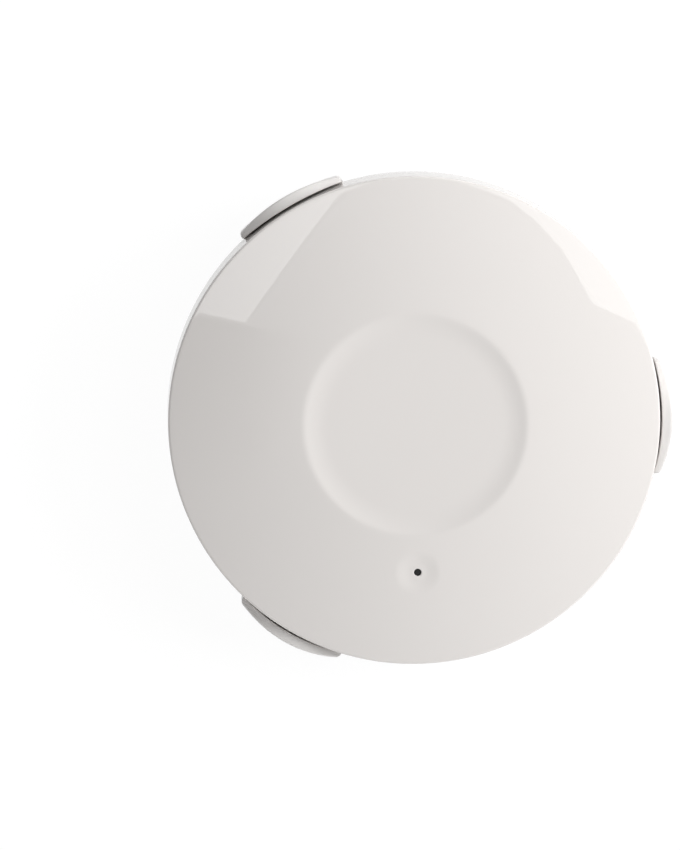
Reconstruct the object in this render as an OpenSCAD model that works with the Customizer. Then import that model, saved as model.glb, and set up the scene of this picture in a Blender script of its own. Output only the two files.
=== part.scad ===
// Water leak sensor: a round puck that stands on three metal probes and reports water on the floor.
// Millimetres, +Z up. The origin is on the cover's axis, at the floor that the probes stand on.
// A foot points along +X and the light hole lies towards -Y.

/* [Cover] */
// Diameter of the round cover at its lower edge
cover_d = 80; // [72:0.5:92]
// Height of the cover's side wall
cover_wall_h = 7.5; // [6.6:0.1:8.5]
// Thickness of the cover's side wall
cover_wall_t = 2; // [1.6:0.1:2.2]
// Thickness of the cover's top
cover_t = 1.8; // [1.5:0.1:2.2]
// How much narrower the side wall is at its top than at its lower edge, on the radius
cover_taper = 0.15; // [0:0.05:0.4]
// Rise of the domed top above the rim
dome_rise = 4.9; // [4.4:0.1:6.5]
// Radius of the rounded edge between the top and the side wall
rim_round = 0.5; // [0.4:0.1:1.2]

/* [Dish in the top] */
// Diameter of the dish's flat floor
dish_floor_d = 28.5; // [20:0.5:30]
// Width of the dish's soft edge
dish_edge_w = 4.5; // [3:0.25:5.5]
// Depth of the dish below the dome where its soft edge starts
dish_depth = 0.3; // [0.1:0.05:0.8]

/* [Light] */
// Distance of the light hole from the cover's axis
light_reach = 24.2; // [23.6:0.1:25.5]
// Diameter of the light hole
light_hole_d = 1.2; // [0.8:0.1:1.6]
// Diameter of the small recess around the light hole
light_recess_d = 7.3; // [5:0.1:7.5]
// Depth of that recess
light_recess_depth = 0.25; // [0.2:0.05:0.5]
// Diameter of the clear rod that carries the light
light_rod_d = 2.4; // [2:0.1:2.8]

/* [Feet] */
// How far a foot reaches out past the cover's lower edge
foot_overhang = 2.1; // [1.6:0.1:3]
// Gap between a foot's upright ear and the cover
foot_gap = 0.3; // [0.2:0.05:0.9]
// Width of a foot
foot_w = 18.8; // [16:0.2:21]
// Radius of a foot's bowed front, seen from above
foot_arc = 20; // [13:0.5:24]
// Radius of the corners beside the bowed front
foot_corner = 1.25; // [1:0.25:4]
// How far the top of a foot's ear lies below the rim
foot_drop = 1.4; // [0.8:0.1:4]

/* [Base] */
// Height of the base's underside above the floor
floor_gap = 2.4; // [2:0.1:3]
// Thickness of the base's bottom plate
plate_t = 2.6; // [2.4:0.1:3]
// How far the base's edge stays inside the cover's lower edge
base_inset = 0.3; // [0.1:0.05:0.6]
// Thickness of the rubber seal between the base and the cover
seal_t = 0.6; // [0.4:0.05:0.9]

/* [Probes] */
// Diameter of a probe's head
probe_head_d = 5.6; // [5:0.1:6.4]
// Height of a probe's head, which is also how high the feet stand off the floor
probe_head_h = 1; // [0.6:0.1:1.4]
// Diameter of a probe's shank
probe_shank_d = 2.5; // [2:0.1:2.8]
// Distance of the probes inside the cover's lower edge
probe_inset = 6.6; // [6.4:0.1:7.2]
// Width of a probe's nut over its corners
nut_w = 5.8; // [4.6:0.1:6]
// Height of a probe's nut
nut_h = 2; // [1.4:0.1:2.4]

/* [Battery door] */
// Travel of the door from locked to open, along +Y
door_travel = 5; // [4.5:0.1:6]
// Thickness of the door's plate
door_t = 1.3; // [1.1:0.1:1.4]
// Length that is cut off each corner of the door's plate
door_corner = 4; // [2:0.5:6]
// Width of a locking hook along the door's travel
hook_w = 4; // [3:0.1:4.4]
// How far a locking hook reaches past the opening
hook_reach = 1.3; // [0.9:0.1:1.6]
// Thickness of a locking hook
hook_t = 1; // [0.8:0.1:1.1]
// Thickness of a locking hook's stem
stem_t = 1.2; // [1:0.1:1.6]
// Width of the two ribs in the door that carry the cells
rib_w = 1.2; // [0.8:0.1:1.6]
// Thickness of the door's seal
door_seal_d = 0.9; // [0.7:0.05:1]
// Length of the grip grooves under the door
grip_l = 16; // [10:1:24]
// Width of a grip groove
grip_w = 0.9; // [0.6:0.1:1.2]
// Depth of a grip groove
grip_depth = 0.4; // [0.2:0.05:0.5]

/* [Batteries] */
// Diameter of a cell
cell_d = 10.5; // [10:0.1:10.5]
// Length of a cell over its raised end
cell_l = 44.5; // [40:0.1:50]
// Diameter of a cell's raised end
nub_d = 3.8; // [3:0.1:4.5]
// Height of a cell's raised end
nub_l = 0.9; // [0.8:0.1:1.2]
// Wall thickness of the battery tray
tray_wall = 1.2; // [1:0.05:1.4]
// Thickness of the battery tray's roof
tray_roof_t = 1; // [0.8:0.1:1.4]
// Width of a solder tail on a contact plate
tail_w = 2.4; // [1.6:0.1:3]
// Length of a solder tail on the circuit board
tail_l = 2.4; // [1.6:0.1:3]
// Diameter of a contact spring at its plate, in the middle of its wire
spring_plate_d = 7.4; // [6:0.1:8]
// Diameter of a contact spring at its cell, in the middle of its wire
spring_cell_d = 4.2; // [3:0.1:5]
// Length of a pressed contact spring
spring_l = 3.7; // [3.4:0.1:3.9]
// Wire diameter of a contact spring
spring_wire_d = 0.6; // [0.4:0.05:0.7]
// Thickness of a contact plate
contact_t = 0.3; // [0.2:0.05:0.4]

/* [Electronics] */
// Height of the circuit board's underside above the base's plate
board_lift = 5; // [4.8:0.1:5.4]
// Thickness of the circuit board
board_t = 1.2; // [0.8:0.1:1.6]
// Width of the radio board
radio_w = 17; // [15:0.5:18]
// Length of the radio board
radio_l = 17; // [15:0.5:18]
// Thickness of the radio board
radio_t = 0.8; // [0.6:0.1:1]
// Side of the radio board's shield
shield_w = 12; // [9:0.5:14]
// Height of the radio board's shield
shield_h = 2.2; // [1.6:0.1:2.4]
// Side of the control chip
chip_w = 7; // [4:0.5:8]
// Height of the control chip
chip_h = 1.4; // [0.8:0.1:1.6]
// Diameter of the supply capacitor's can
capacitor_d = 6.2; // [4:0.1:6.4]
// Height of the supply capacitor
capacitor_h = 4.6; // [3.5:0.1:5]
// Length of the status light
led_l = 3.5; // [2:0.1:3.6]
// Width of the status light
led_w = 2.8; // [1.6:0.1:3]
// Height of the status light
led_h = 1.9; // [1:0.1:2]
// Side of the push switch
switch_w = 6; // [4.5:0.1:6.2]
// Diameter of the push switch's plunger
plunger_d = 3; // [2:0.1:3.5]
// Diameter of the pairing button
button_d = 3.3; // [2.6:0.1:3.4]
// Travel of the pairing button
button_travel = 0.3; // [0.2:0.05:0.4]
// Distance of the pairing button inside the cover's lower edge
button_inset = 11; // [9:0.5:13]

/* [Screws] */
// Shank diameter of a housing screw
screw_d = 2.4; // [2:0.1:2.8]
// Head diameter of a housing screw
screw_head_d = 4.4; // [3.8:0.1:4.6]
// Head height of a housing screw
screw_head_h = 1.5; // [1.2:0.1:2]
// Distance of the housing screws inside the cover's lower edge
screw_inset = 7.3; // [7:0.1:8]
// Shank diameter of a tray screw
tray_screw_d = 1.6; // [1.2:0.1:2]
// Head diameter of a tray screw
tray_screw_head_d = 3.4; // [2.8:0.1:4]
// Head height of a tray screw
tray_screw_head_h = 1.2; // [0.8:0.1:1.6]
// How deep a tray screw goes into the base's plate
tray_screw_depth = 1.6; // [1:0.1:1.8]

/* [Clearances] */
// Gap around the sliding door
door_gap = 0.1; // [0.06:0.01:0.15]
// Radial gap around the pairing button
button_gap = 0.08; // [0.04:0.01:0.1]
// Radial gap around screws and probe shanks
screw_gap = 0.05; // [0.03:0.01:0.08]
// Gap between a cell and the tray above it
cell_gap = 0.2; // [0.15:0.05:0.4]
// Gap between the tray and the cover above it
cover_gap = 0.4; // [0.3:0.1:1]

/* [Hidden] */
$fn = 96;
foot_angles = [0, 120, 240];
screw_angles = [60, 180, 300];
button_angle = 90;
light_angle = 271;

// Heights of the base
cover_r = cover_d / 2;
shank_r = probe_shank_d / 2;
plate_z = floor_gap;
plate_top = floor_gap + plate_t;
ledge_z = plate_z + door_t + door_gap;

// Cells, side by side along X with opposite ends up
cell_r = cell_d / 2;
nub_r = nub_d / 2;
cell_y = cell_r + 0.15;
contact_y = cell_y + cell_r - 1.8;
bay_half_l = (cell_l + spring_l) / 2;

// Battery door, sized so that the cells pass its opening; lengths and widths are halves
open_l = bay_half_l - 0.6;
open_w = cell_y + cell_r + 0.2;
hook_z = plate_top + door_gap;
hook_top = hook_z + hook_t;
hook_ys = [for (i = [0, 1]) hook_w / 2 + 1.25 - open_w + 2 * door_travel * i];
hook_root = open_l - 0.3 - stem_t;
door_seal_l = open_l + hook_reach + 0.9 + door_seal_d / 2;
door_seal_w = open_w + 0.6 + door_seal_d / 2;
door_rim = door_seal_d / 2 + 0.5;
door_l = door_seal_l + door_rim;
door_w = door_seal_w + door_rim;
rib_l = open_l - 4;
rib_y = open_w - door_travel - rib_w / 2 - 0.3;
rib_top = plate_top + 0.7;

// Battery tray above the door
cell_z = max(plate_top + 0.8, hook_top + cell_gap) + cell_r;
tray_half_l = bay_half_l + contact_t + 0.05 + tray_wall;
tray_half_w = cell_y + cell_r + cell_gap + tray_wall;
tray_bottom = hook_top + 0.3;
tray_side_cut = 3;
tray_end_cut = 1.5;
tray_roof = cell_z + cell_r + cell_gap;
tray_top = tray_roof + tray_roof_t;
ear_x = tray_half_l / 2;
ear_y = door_w + door_travel + 1.5 + tray_screw_d / 2;
ear_root = tray_half_w - tray_wall / 2;
ear_top = tray_bottom + 1.2;

// Heights of the cover, from the tray under it
dish_r1 = dish_floor_d / 2;
dish_r2 = dish_r1 + dish_edge_w;
dome_R = (cover_r * cover_r + dome_rise * dome_rise) / (2 * dome_rise);
tray_corner_r = norm([tray_half_l - tray_end_cut, tray_half_w - tray_side_cut]);
dish_z = tray_top + cover_gap + cover_t + max(0, sag(tray_corner_r) - sag(dish_r2) - dish_depth);
apex_z = dish_z + dish_depth + sag(dish_r2);
rim_z = apex_z - dome_rise;
wall_z = rim_z - cover_wall_h;
top_r = cover_r - cover_taper;
round_r = top_r - rim_round;
round_join_r = round_r / (1 - rim_round / dome_R);
round_slope = asin(round_join_r / dome_R);
round_z = dome_z(round_join_r) - rim_round * cos(round_slope);
inner_r = cover_r - cover_wall_t;

// Bowl of the base, under the cover's edge
edge_z = wall_z - seal_t;
bowl_R = edge_z - plate_z;
bowl_r = cover_r - base_inset - bowl_R;
tongue_r = inner_r - 0.3;
tongue_t = 1.3;
tongue_in = tongue_r - tongue_t;
tongue_top = edge_z + 2.4;

// Feet
foot_reach = cover_r + foot_overhang;
ear_in = cover_r + foot_gap;
foot_top = rim_z - foot_drop;
foot_bow_x = foot_reach + 0.1 - foot_arc;
foot_side_y = foot_w / 2 - foot_corner;
foot_corner_x = foot_bow_x + sqrt(pow(foot_arc - foot_corner, 2) - pow(foot_side_y, 2));
foot_corner_turn = atan2(foot_side_y, foot_corner_x - foot_bow_x);
pad_z = probe_head_h;
probe_r = max(cover_r - probe_inset, door_l + shank_r + 1);
pad_in = max(probe_r - 3.6, door_l + 0.5);
probe_boss_r = shank_r + 1.35;

// Circuit board and what stands on it
board_z = plate_top + board_lift;
board_top = board_z + board_t;
board_r = tongue_in - 0.5;
hole_half_l = tray_half_l + 0.8;
hole_half_w = tray_half_w + 0.8;
radio_y = hole_half_w + 0.5;
chip_x = tray_half_l / 2;
chip_y = -hole_half_w - 3 - chip_w / 2;
capacitor_x = -tray_half_l / 2;
capacitor_y = -hole_half_w - 3 - capacitor_d / 2;

// Housing screws
screw_shank_r = screw_d / 2;
screw_head_r = screw_head_d / 2;
screw_r = max(cover_r - screw_inset, door_l + screw_head_r + 0.8);
tray_screw_r = tray_screw_d / 2;
screw_seat = plate_top + 1;
base_boss_top = board_z - 0.2;
cover_boss_z = board_z - 0.1;
cover_boss_r = screw_shank_r + 1.5;
screw_tip = cover_boss_z + 4.6;

// Light rod and its tube in the cover
light_x = light_reach * cos(light_angle);
light_y = light_reach * sin(light_angle);
light_floor = dome_z(light_reach) - light_recess_depth;
light_step = light_floor - 1;
rod_z = board_top + led_h + 0.2;
rod_r = light_rod_d / 2;
hole_r = light_hole_d / 2;
recess_ball = (pow(light_recess_d / 2, 2) + pow(light_recess_depth, 2)) / (2 * light_recess_depth);

// Pairing button, pressed from below
button_y = cover_r - button_inset;
button_r = button_d / 2;
button_flange_r = button_r + 0.7;
button_top = plate_top + 0.9;
plunger_r = plunger_d / 2;
switch_z = button_top + button_travel + 0.4;
switch_h = board_z - switch_z;

// Depth of the dome below its apex at radius r
function sag(r) = dome_R - sqrt(dome_R * dome_R - r * r);

// Height of the plain dome at radius r
function dome_z(r) = apex_z - sag(r);

// Share of the way through a soft edge, from 0 to 1
function soft(t) = t * t * (3 - 2 * t);

// Height of the top at radius r: a flat dish floor, a soft edge, then the dome
function top_z(r) = r <= dish_r1 ? dish_z : r >= dish_r2 ? dome_z(r)
    : dish_z + (dome_z(r) - dish_z) * soft((r - dish_r1) / dish_edge_w);

// Section of the top from the dish's edge outwards, as [radius, height] points
function top_line(n, r_end, drop) = concat([[0, dish_z - drop]],
    [for (i = [0 : n]) let (r = dish_r1 + (dish_r2 - dish_r1) * i / n) [r, top_z(r) - drop]],
    [for (i = [1 : n]) let (r = dish_r2 + (r_end - dish_r2) * i / n) [r, top_z(r) - drop]]);

// Rounded edge between the top and the side wall
function rim_line(n) = [for (i = [1 : n]) let (a = round_slope + (90 - round_slope) * i / n)
    [round_r + rim_round * sin(a), round_z + rim_round * cos(a)]];

// Points of a list, last first
function flipped(list) = [for (i = [len(list) - 1 : -1 : 0]) list[i]];

// A plate with cut corners: x from -l to l, y from y0 to y1, corner cut c, height z0 to z1
module cut_plate(l, y0, y1, c, z0, z1) {
    translate([0, 0, z0])
        linear_extrude(height = z1 - z0)
            polygon([[c - l, y0], [l - c, y0], [l, y0 + c], [l, y1 - c],
                [l - c, y1], [c - l, y1], [-l, y1 - c], [-l, y0 + c]]);
}

// A closed band of half width w around the door's seal line, height z0 to z1
module seal_band(w, z0, z1) {
    c = door_corner - (2 - sqrt(2)) * door_rim;
    cut = (2 - sqrt(2)) * w;
    difference() {
        cut_plate(door_seal_l + w, -door_seal_w - w, door_seal_w + w, c + cut, z0, z1);
        cut_plate(door_seal_l - w, w - door_seal_w, door_seal_w - w, c - cut, z0 - 1, z1 + 1);
    }
}

// A plain upright cylinder from z0 to z1
module post(r, z0, z1) {
    translate([0, 0, z0])
        cylinder(r = r, h = z1 - z0);
}

// Copies of the children at each angle, moved out to radius r
module around(angles, r) {
    for (a = angles)
        rotate([0, 0, a])
            translate([r, 0, 0])
                children();
}

// Cross-shaped driver recess, z0 to z1
module cross_recess(size, z0, z1) {
    for (a = [0, 90])
        rotate([0, 0, a])
            translate([-size, -size / 5, z0])
                cube([2 * size, 2 * size / 5, z1 - z0]);
}

module cover_shell() {
    rotate_extrude()
        polygon(concat(top_line(10, round_join_r, 0), rim_line(6), [[cover_r, wall_z], [inner_r, wall_z]],
            flipped(top_line(8, inner_r, cover_t))));
}

module top_cover() {
    color([0.9, 0.89, 0.87])
        difference() {
            union() {
                cover_shell();
                around(screw_angles, screw_r)
                    post(cover_boss_r, cover_boss_z, dome_z(screw_r) - 0.55 * cover_t);
                translate([light_x, light_y, 0])
                    post(rod_r + 1.2, rod_z + 0.8, dome_z(light_reach) - 0.55 * cover_t);
            }
            around(screw_angles, screw_r)
                post(screw_shank_r + screw_gap, cover_boss_z - 1, screw_tip + 0.4);
            translate([light_x, light_y, 0]) {
                post(rod_r + screw_gap, rod_z, light_step);
                post(hole_r, light_step - 1, apex_z);
                translate([0, 0, light_floor + recess_ball])
                    sphere(r = recess_ball);
            }
        }
}

module light_pipe() {
    color([0.9, 0.95, 0.97])
        translate([light_x, light_y, 0])
            union() {
                post(rod_r, rod_z, light_step - 0.05);
                post(hole_r - screw_gap, light_step - 0.1, light_floor - 0.15);
            }
}

// Points from angle a0 to a1 on a circle of radius r round x, y, from the point number first on
function arc_line(x, y, r, a0, a1, n, first) = [for (i = [first : n]) let (a = a0 + (a1 - a0) * i / n)
    [x + r * cos(a), y + r * sin(a)]];

module foot_outline() {
    polygon(concat([[pad_in - foot_gap, foot_w / 2], [pad_in - foot_gap, -foot_w / 2]],
        arc_line(foot_corner_x, -foot_side_y, foot_corner, -90, -foot_corner_turn, 5, 0),
        arc_line(foot_bow_x, 0, foot_arc, -foot_corner_turn, foot_corner_turn, 24, 1),
        arc_line(foot_corner_x, foot_side_y, foot_corner, foot_corner_turn, 90, 5, 1)));
}

module foot_section() {
    polygon([[pad_in, pad_z], [probe_r + 3.6, pad_z], [foot_reach - 1, edge_z - 1.2],
        [foot_reach, foot_top - 0.6], [foot_reach - 0.08, foot_top - 0.3],
        [foot_reach - 0.3, foot_top - 0.08], [foot_reach - 0.6, foot_top],
        [ear_in + 0.15, foot_top], [ear_in, foot_top - 0.15], [ear_in, edge_z - 0.3],
        [cover_r - base_inset - 0.8, edge_z - 0.3], [bowl_r, plate_z + 1], [pad_in - 0.4, plate_z + 0.5]]);
}

module foot() {
    intersection() {
        rotate([0, 0, -30])
            rotate_extrude(angle = 60)
                foot_section();
        linear_extrude(height = foot_top + 1)
            foot_outline();
    }
}

module base_outside() {
    rotate_extrude()
        union() {
            translate([0, plate_z])
                square([bowl_r, bowl_R]);
            intersection() {
                translate([bowl_r, edge_z])
                    circle(r = bowl_R);
                translate([bowl_r, plate_z - 1])
                    square([bowl_R + 1, bowl_R + 1]);
            }
            translate([tongue_in, edge_z - 1])
                square([tongue_t, tongue_top - edge_z + 1]);
        }
}

module base_hollow() {
    slope_r = bowl_r + 0.7;
    rotate_extrude()
        polygon([[0, plate_top], [slope_r, plate_top], [tongue_in, plate_top + tongue_in - slope_r],
            [tongue_in, tongue_top + 1], [0, tongue_top + 1]]);
}

module base_housing() {
    color([0.88, 0.87, 0.85])
        difference() {
            union() {
                difference() {
                    union() {
                        base_outside();
                        for (a = foot_angles)
                            rotate([0, 0, a])
                                foot();
                    }
                    base_hollow();
                }
                around(foot_angles, probe_r)
                    post(probe_boss_r, plate_top - 1, board_z);
                around(screw_angles, screw_r)
                    post(screw_head_r + 1, plate_top - 1, base_boss_top);
            }
            translate([-open_l, -open_w, plate_z - 1])
                cube([2 * open_l, 2 * open_w, plate_t + 2]);
            cut_plate(door_l + door_gap, -door_w - door_gap, door_w + door_travel + 0.3, door_corner,
                plate_z - 1.2, ledge_z);
            for (y = hook_ys)
                translate([-open_l - hook_reach - 0.3, y + door_travel - hook_w / 2 - 0.3, plate_z - 1])
                    cube([2 * (open_l + hook_reach + 0.3), hook_w + 0.6, plate_t + 2]);
            around(foot_angles, probe_r) {
                post(shank_r + screw_gap, pad_z - 1, board_z + 1);
                post(shank_r + 1, pad_z - 1, pad_z + 1);
            }
            around(screw_angles, screw_r) {
                post(screw_shank_r + 0.15, plate_z - 1, board_z);
                post(screw_head_r + 0.3, plate_z - 1, screw_seat);
            }
            rotate([0, 0, button_angle])
                translate([button_y, 0, 0])
                    post(button_r + button_gap, plate_z - 1, plate_top + 1);
            for (sx = [-1, 1])
                for (sy = [-1, 1])
                    translate([sx * ear_x, sy * ear_y, 0])
                        post(tray_screw_r + screw_gap, plate_top - tray_screw_depth - 0.2, plate_top + 1);
        }
}

module housing_seal() {
    color([0.07, 0.07, 0.07])
        rotate_extrude()
            translate([tongue_r + 0.1, edge_z])
                square([cover_r - 0.8 - tongue_r, seal_t]);
}

module housing_screws() {
    color([0.62, 0.62, 0.64])
        around(screw_angles, screw_r)
            difference() {
                union() {
                    post(screw_head_r, screw_seat - screw_head_h, screw_seat);
                    post(screw_shank_r, screw_seat - 0.5, screw_tip);
                }
                cross_recess(1.2, screw_seat - screw_head_h - 1, screw_seat - 0.6);
            }
}

module battery_door() {
    plate_mid = plate_z + door_t / 2;
    color([0.88, 0.87, 0.85])
        difference() {
            union() {
                cut_plate(door_l, -door_w, door_w, door_corner, plate_z, plate_z + door_t);
                for (sy = [-1, 1])
                    translate([-rib_l, sy * rib_y - rib_w / 2, plate_mid])
                        cube([2 * rib_l, rib_w, rib_top - plate_mid]);
                for (turn = [0, 180])
                    for (y = hook_ys)
                        mirror([turn / 180, 0, 0])
                            translate([hook_root, y, 0]) {
                                translate([0, 0.4 - hook_w / 2, plate_mid])
                                    cube([stem_t, hook_w - 0.8, hook_top - plate_mid]);
                                translate([0, -hook_w / 2, hook_z])
                                    cube([open_l + hook_reach - hook_root, hook_w, hook_t]);
                            }
            }
            seal_band(door_seal_d / 2 + 0.05, plate_z + door_t - door_seal_d + 0.1, plate_z + door_t + 1);
            for (i = [0 : 4])
                translate([-grip_l / 2, -door_w / 2 + 2 * grip_w * (i - 2), plate_z - 1])
                    cube([grip_l, grip_w, grip_depth + 1]);
        }
}

module door_seal() {
    color([0.07, 0.07, 0.07])
        seal_band(door_seal_d / 2 - 0.01, plate_z + door_t - door_seal_d + 0.11, ledge_z - 0.03);
}

module probe(a) {
    color([0.75, 0.76, 0.78])
        rotate([0, 0, a])
            translate([probe_r, 0, 0])
                union() {
                    post(probe_head_d / 2, 0, pad_z);
                    post(shank_r, pad_z - 0.2, board_top + nut_h + 0.6);
                }
}

module probe_seal(a) {
    color([0.07, 0.07, 0.07])
        rotate([0, 0, a])
            translate([probe_r, 0, pad_z + 0.5])
                rotate_extrude()
                    translate([shank_r + 0.5, 0])
                        circle(r = 0.46);
}

module probe_east() {
    probe(foot_angles[0]);
}

module probe_northwest() {
    probe(foot_angles[1]);
}

module probe_southwest() {
    probe(foot_angles[2]);
}

module probe_seal_east() {
    probe_seal(foot_angles[0]);
}

module probe_seal_northwest() {
    probe_seal(foot_angles[1]);
}

module probe_seal_southwest() {
    probe_seal(foot_angles[2]);
}

module probe_nuts() {
    color([0.75, 0.76, 0.78])
        around(foot_angles, probe_r)
            difference() {
                translate([0, 0, board_top])
                    cylinder(d = nut_w, h = nut_h, $fn = 6);
                post(shank_r + 0.03, board_top - 1, board_top + nut_h + 1);
            }
}

module circuit_board() {
    color([0.05, 0.3, 0.16])
        difference() {
            post(board_r, board_z, board_top);
            translate([-hole_half_l, -hole_half_w, board_z - 1])
                cube([2 * hole_half_l, 2 * hole_half_w, board_t + 2]);
            around(foot_angles, probe_r)
                post(shank_r + 0.15, board_z - 1, board_top + 1);
            around(screw_angles, screw_r) {
                post(cover_boss_r + 0.5, board_z - 1, board_top + 1);
                translate([0, -cover_boss_r, board_z - 1])
                    cube([cover_boss_r + 5, 2 * cover_boss_r, board_t + 2]);
            }
        }
}

module radio_board() {
    color([0.04, 0.12, 0.3])
        translate([-radio_w / 2, radio_y, board_top])
            cube([radio_w, radio_l, radio_t]);
}

module radio_shield() {
    color([0.72, 0.73, 0.74])
        translate([-shield_w / 2, radio_y + 1, board_top + radio_t])
            cube([shield_w, shield_w, shield_h]);
}

module control_chip() {
    color([0.08, 0.08, 0.09])
        translate([chip_x - chip_w / 2, chip_y - chip_w / 2, board_top])
            cube([chip_w, chip_w, chip_h]);
}

module supply_capacitor() {
    color([0.16, 0.16, 0.18])
        translate([capacitor_x, capacitor_y, 0])
            union() {
                translate([-capacitor_d / 2 - 0.2, -capacitor_d / 2 - 0.2, board_top])
                    cube([capacitor_d + 0.4, capacitor_d + 0.4, 0.8]);
                post(capacitor_d / 2, board_top + 0.5, board_top + capacitor_h);
            }
}

module status_led() {
    color([0.93, 0.92, 0.85])
        translate([light_x - led_l / 2, light_y - led_w / 2, board_top])
            cube([led_l, led_w, led_h]);
}

module switch_body() {
    color([0.1, 0.1, 0.11])
        rotate([0, 0, button_angle])
            translate([button_y, 0, 0])
                difference() {
                    translate([-switch_w / 2, -switch_w / 2, switch_z])
                        cube([switch_w, switch_w, switch_h]);
                    post(plunger_r + button_gap, switch_z - 1, switch_z + 1.1 + button_travel);
                }
}

module switch_plunger() {
    color([0.55, 0.12, 0.1])
        rotate([0, 0, button_angle])
            translate([button_y, 0, 0])
                post(plunger_r, button_top, switch_z + 0.9);
}

module pairing_button() {
    color([0.45, 0.46, 0.48])
        rotate([0, 0, button_angle])
            translate([button_y, 0, 0])
                union() {
                    post(button_r, plate_z + 0.2, button_top);
                    post(button_flange_r, plate_top + 0.05, button_top);
                }
}

// A block along X whose upper long edges are cut: half width w, edge cut c, height z0 to z1, half length l
module tray_block(w, c, z0, z1, l) {
    rotate([90, 0, 90])
        translate([0, 0, -l])
            linear_extrude(height = 2 * l)
                polygon([[-w, z0], [w, z0], [w, z1 - c], [w - c, z1], [c - w, z1], [-w, z1 - c]]);
}

module battery_tray() {
    color([0.2, 0.2, 0.21])
        difference() {
            union() {
                difference() {
                    intersection() {
                        tray_block(tray_half_w, tray_side_cut, tray_bottom, tray_top, tray_half_l);
                        rotate([0, 0, 90])
                            tray_block(tray_half_l, tray_end_cut, tray_bottom - 1, tray_top, tray_half_w + 1);
                    }
                    tray_block(tray_half_w - tray_wall, tray_side_cut - (2 - sqrt(2)) * tray_wall,
                        tray_bottom - 1, tray_roof, tray_half_l - tray_wall);
                }
                translate([-rib_l, -0.4, tray_roof - 2])
                    cube([2 * rib_l, 0.8, 2 + tray_roof_t / 2]);
                for (sx = [-1, 1])
                    for (sy = [-1, 1]) {
                        translate([sx * ear_x, sy * ear_y, 0])
                            post(2.1, plate_top, ear_top);
                        translate([sx * ear_x - tray_screw_d, sy > 0 ? ear_root : -ear_y, tray_bottom])
                            cube([2 * tray_screw_d, ear_y - ear_root, ear_top - tray_bottom]);
                    }
            }
            for (sx = [-1, 1])
                for (sy = [-1, 1])
                    translate([sx * ear_x, sy * ear_y, 0])
                        post(tray_screw_r + 0.15, plate_top - 1, ear_top + 1);
            for (sy = [-1, 1])
                translate([-tray_half_l - 1, sy * cell_y - tail_w / 2 - 0.4, board_top - 0.2])
                    cube([tray_wall + 2, tail_w + 0.8, contact_t + 0.5]);
        }
}

module tray_screws() {
    color([0.62, 0.62, 0.64])
        for (sx = [-1, 1])
            for (sy = [-1, 1])
                translate([sx * ear_x, sy * ear_y, 0])
                    difference() {
                        union() {
                            post(tray_screw_r, plate_top - tray_screw_depth, ear_top + 0.5);
                            post(tray_screw_head_d / 2, ear_top, ear_top + tray_screw_head_h);
                        }
                        cross_recess(tray_screw_head_d / 4, ear_top + tray_screw_head_h / 2,
                            ear_top + 2 * tray_screw_head_h);
                    }
}

// A cell with its raised end at the origin, lying along +X
module cell() {
    rotate([0, 90, 0])
        union() {
            post(nub_r, 0, nub_l + 0.5);
            post(cell_r, nub_l, cell_l);
        }
}

module battery_a() {
    color([0.16, 0.3, 0.5])
        translate([-bay_half_l, cell_y, cell_z])
            cell();
}

module battery_b() {
    color([0.16, 0.3, 0.5])
        rotate([0, 0, 180])
            translate([-bay_half_l, cell_y, cell_z])
                cell();
}

// A contact plate against the -X wall of the tray, over y0 to y1
module contact_plate(y0, y1) {
    z0 = tray_bottom + 0.4;
    translate([-bay_half_l - contact_t, y0, z0])
        cube([contact_t, y1 - y0, tray_roof - 0.8 - z0]);
}

// A tail from a contact plate through the tray's wall onto the circuit board
module contact_tail(y) {
    translate([-hole_half_l - tail_l, y - tail_w / 2, board_top])
        cube([hole_half_l + tail_l - bay_half_l - 0.05, tail_w, contact_t]);
}

module positive_contact() {
    color([0.8, 0.78, 0.72])
        union() {
            contact_plate(0.7, contact_y);
            contact_tail(cell_y);
        }
}

module negative_contact() {
    color([0.8, 0.78, 0.72])
        union() {
            contact_plate(-contact_y, -0.7);
            contact_tail(-cell_y);
        }
}

module bridge_contact() {
    color([0.8, 0.78, 0.72])
        rotate([0, 0, 180])
            contact_plate(-contact_y, contact_y);
}

// A point on the middle line of a cone-shaped coil along +X, at share t of its length
function coil_point(r0, r1, turns, length, t) = let (a = 360 * turns * t, r = r0 + (r1 - r0) * t)
    [length * t, r * cos(a), r * sin(a)];

// A cone-shaped contact spring as one tube: turns of wire that narrow from r0 to r1
module coil(r0, r1, turns, length, wire_r) {
    steps = 24;
    sides = 6;
    rings = floor(turns * steps);
    middle = [for (i = [0 : rings]) coil_point(r0, r1, turns, length, i / rings)];
    points = [for (i = [0 : rings]) let (a = 360 * turns * i / rings, c = middle[i])
        for (k = [0 : sides - 1]) let (u = 360 * k / sides, out = wire_r * cos(u))
            [wire_r + c[0] + wire_r * sin(u), c[1] + out * cos(a), c[2] + out * sin(a)]];
    walls = [for (i = [0 : rings - 1]) for (k = [0 : sides - 1])
        let (m = (k + 1) % sides, p = i * sides, q = p + sides)
            each [[p + k, p + m, q + m], [p + k, q + m, q + k]]];
    ends = [for (k = [1 : sides - 2]) each [[0, k + 1, k],
        [rings * sides, rings * sides + k, rings * sides + k + 1]]];
    spans = [for (i = [0 : rings]) for (j = [i + steps / 2 : rings]) norm(middle[i] - middle[j])];
    least_gap = min(spans) - 2 * wire_r;
    echo(least_gap = least_gap);
    polyhedron(points = points, faces = concat(walls, ends), convexity = 6);
}

// A spring from the contact plate at the -X end to the flat end of a cell
module contact_spring() {
    translate([-bay_half_l + 0.02, -cell_y, cell_z])
        coil(spring_plate_d / 2, spring_cell_d / 2, 2.5, spring_l - spring_wire_d - 0.04, spring_wire_d / 2);
}

module negative_spring() {
    color([0.8, 0.78, 0.72])
        contact_spring();
}

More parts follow.
